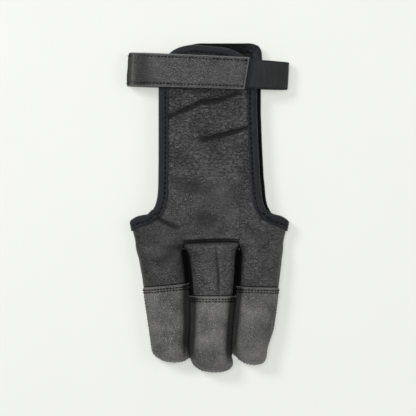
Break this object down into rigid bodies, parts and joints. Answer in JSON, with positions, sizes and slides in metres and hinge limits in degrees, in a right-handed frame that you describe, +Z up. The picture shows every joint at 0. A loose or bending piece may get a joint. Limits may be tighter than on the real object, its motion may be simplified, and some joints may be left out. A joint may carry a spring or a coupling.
{
  "type": "archery glove",
  "caption": "Three-finger leather shooting glove lying flat, with capped fingertips, bound wrist strips, open thumb and little-finger sides and a closed wrist strap.",
  "frame": {"origin": "on the surface that the glove lies on, under the middle of its outline", "axes": "+Y from the fingertips to the wrist, +Z up out of the visible front, +X to the right in the picture"},
  "size_m": [0.1062, 0.2166, 0.0191],
  "materials": {
    "leather": "soft black glove leather, fine grain, slight sheen",
    "back_leather": "plain black glove leather, matt",
    "cap_leather": "firm black leather, pebbled grain, satin sheen",
    "strap_leather": "black strap leather, fine wrinkled grain, satin",
    "binding": "dark navy folded binding tape, fine weave",
    "elastic": "woven charcoal elastic, fine rib",
    "hook": "black hook tape, matt"
  },
  "bodies": {
    "root": {"front_panel": "leather", "middle_finger_panel": "leather", "back_panel": "back_leather", "left_fourchette": "back_leather", "right_fourchette": "back_leather", "left_fingertip_cap": "cap_leather", "middle_fingertip_cap": "cap_leather", "right_fingertip_cap": "cap_leather", "front_binding": "binding", "back_binding": "binding", "left_opening_binding": "binding", "right_opening_binding": "binding", "wrist_strap": "strap_leather", "elastic_band": "elastic", "hook_patch": "hook"}
  },
  "joints": []
}
